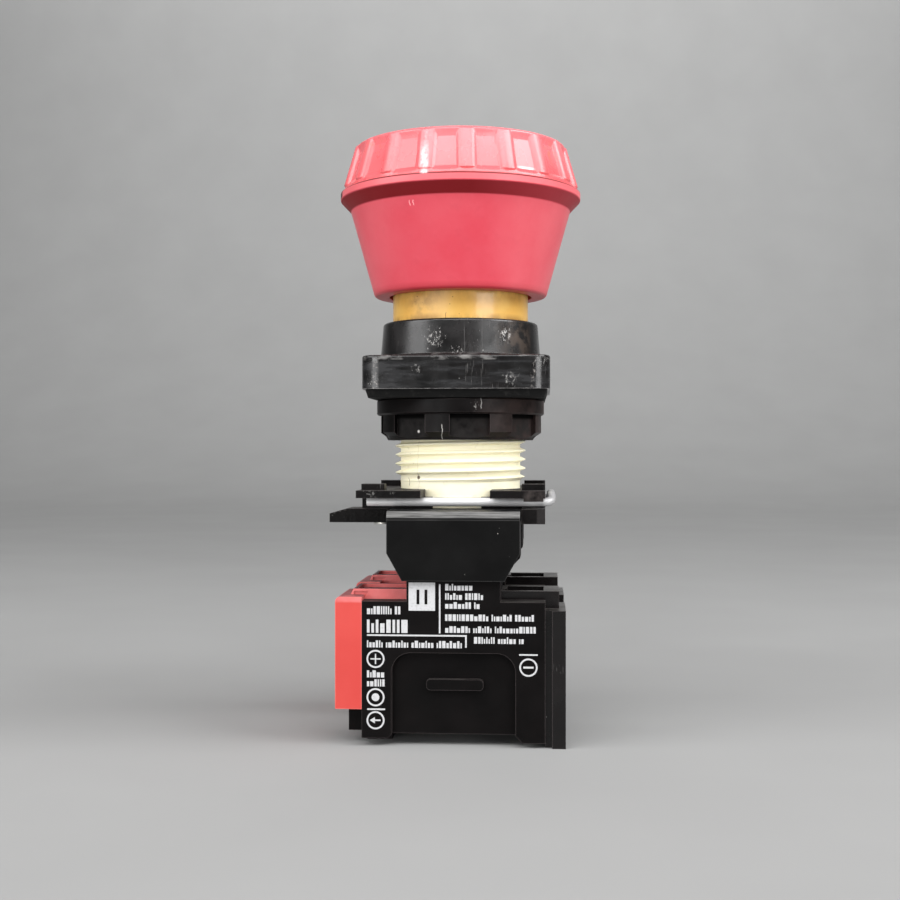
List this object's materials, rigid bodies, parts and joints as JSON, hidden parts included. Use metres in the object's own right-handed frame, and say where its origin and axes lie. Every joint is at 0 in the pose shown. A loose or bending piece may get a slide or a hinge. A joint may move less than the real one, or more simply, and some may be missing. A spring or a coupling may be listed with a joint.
{
  "type": "industrial push button",
  "caption": "Mushroom-head emergency push button for a 22 mm panel hole, with a square bezel, ring nut, wire-clip adapter and contact blocks under a sheet-metal saddle.",
  "frame": {"origin": "on the barrel axis at the panel face, the underside of the gasket", "axes": "+Z along the barrel axis towards the mushroom head, -Y towards the front contact block, +X towards the blocks' black end covers"},
  "size_m": [0.0411, 0.0404, 0.0982],
  "materials": {
    "red_cap": "red moulded plastic, satin",
    "red_cover": "red moulded plastic",
    "yellow": "yellow moulded plastic",
    "black_gloss": "glossy black moulded plastic, scuffed",
    "black_nut": "satin black moulded plastic",
    "black_block": "black moulded plastic",
    "rubber": "black rubber",
    "cream": "cream moulded plastic",
    "steel_dark": "black coated sheet steel",
    "steel_wire": "galvanised steel wire",
    "steel_screw": "zinc-plated steel",
    "spring_steel": "spring steel",
    "silver_contact": "silvered copper alloy",
    "brass": "brass",
    "white_plastic": "white moulded plastic"
  },
  "bodies": {
    "operator": {"indicator_sleeve": "yellow", "shaft_seal": "rubber", "bezel": "black_gloss", "panel_gasket": "rubber", "threaded_barrel": "cream", "latch_ring": "spring_steel", "return_spring": "spring_steel", "contact_bracket": "steel_dark", "adapter_body": "black_block", "carrier_screws": "steel_screw", "lever_pin": "steel_screw", "front_housing": "black_block", "front_label_cover": "black_block", "front_terminal_cover": "red_cover", "front_end_cover": "black_block", "front_contact_spring": "spring_steel", "front_fixed_contacts": "brass", "front_clamp_plates": "steel_screw", "front_terminal_screws": "steel_screw", "rear_housing": "black_block", "rear_label_cover": "black_block", "rear_terminal_cover": "red_cover", "rear_end_cover": "black_block", "rear_contact_spring": "spring_steel", "rear_fixed_contacts": "brass", "rear_clamp_plates": "steel_screw", "rear_terminal_screws": "steel_screw"},
    "plunger": {"actuator_foot": "white_plastic"},
    "head": {"mushroom_cap": "red_cap", "mushroom_skirt": "red_cap", "head_screw": "steel_screw", "plunger_stem": "white_plastic", "stem_circlip": "spring_steel", "latch_cam": "white_plastic"},
    "washer": {"clamp_washer": "black_nut"},
    "nut": {"ring_nut": "black_nut"},
    "clip": {"locking_clip": "steel_wire"},
    "lever": {"release_lever": "black_block"},
    "front_contact": {"front_pusher": "white_plastic", "front_contact_bridge": "silver_contact"},
    "rear_contact": {"rear_pusher": "white_plastic", "rear_contact_bridge": "silver_contact"}
  },
  "joints": [
    {"name": "head_push", "type": "slide", "parent": "operator", "child": "plunger", "axis": [0, 0, 1], "range_m": [-0.0038, 0], "stiffness_N_per_m": 3000, "springref_m": 0.002, "deforming": ["return_spring"]},
    {"name": "head_twist", "type": "hinge", "parent": "plunger", "child": "head", "pos_m": [0, 0, 0], "axis": [0, 0, 1], "range_deg": [-45, 0], "stiffness_Nm_per_rad": 0.05, "springref_deg": 11.46},
    {"name": "nut_travel", "type": "slide", "parent": "operator", "child": "washer", "axis": [0, 0, 1], "range_m": [-0.006, 0]},
    {"name": "nut_turn", "type": "hinge", "parent": "washer", "child": "nut", "pos_m": [0, 0, 0], "axis": [0, 0, 1], "range_deg": [-1440, 0]},
    {"name": "clip_slide", "type": "slide", "parent": "operator", "child": "clip", "axis": [1, 0, 0], "range_m": [0, 0.026]},
    {"name": "lever_turn", "type": "hinge", "parent": "operator", "child": "lever", "pos_m": [-0.0132, 0.0005, -0.019], "axis": [0, 0, 1], "range_deg": [-35, 0]},
    {"name": "front_contact_travel", "type": "slide", "parent": "operator", "child": "front_contact", "axis": [0, 0, 1], "range_m": [-0.0038, 0], "stiffness_N_per_m": 400, "springref_m": 0.002, "deforming": ["front_contact_spring"]},
    {"name": "rear_contact_travel", "type": "slide", "parent": "operator", "child": "rear_contact", "axis": [0, 0, 1], "range_m": [-0.0038, 0], "stiffness_N_per_m": 400, "springref_m": 0.002, "deforming": ["rear_contact_spring"]}
  ],
  "couplings": [
    {"joint": "front_contact_travel", "follows": "head_push", "ratio": 1},
    {"joint": "rear_contact_travel", "follows": "head_push", "ratio": 1},
    {"joint": "nut_travel", "follows": "nut_turn", "m_per_rad": 0.00023873}
  ]
}
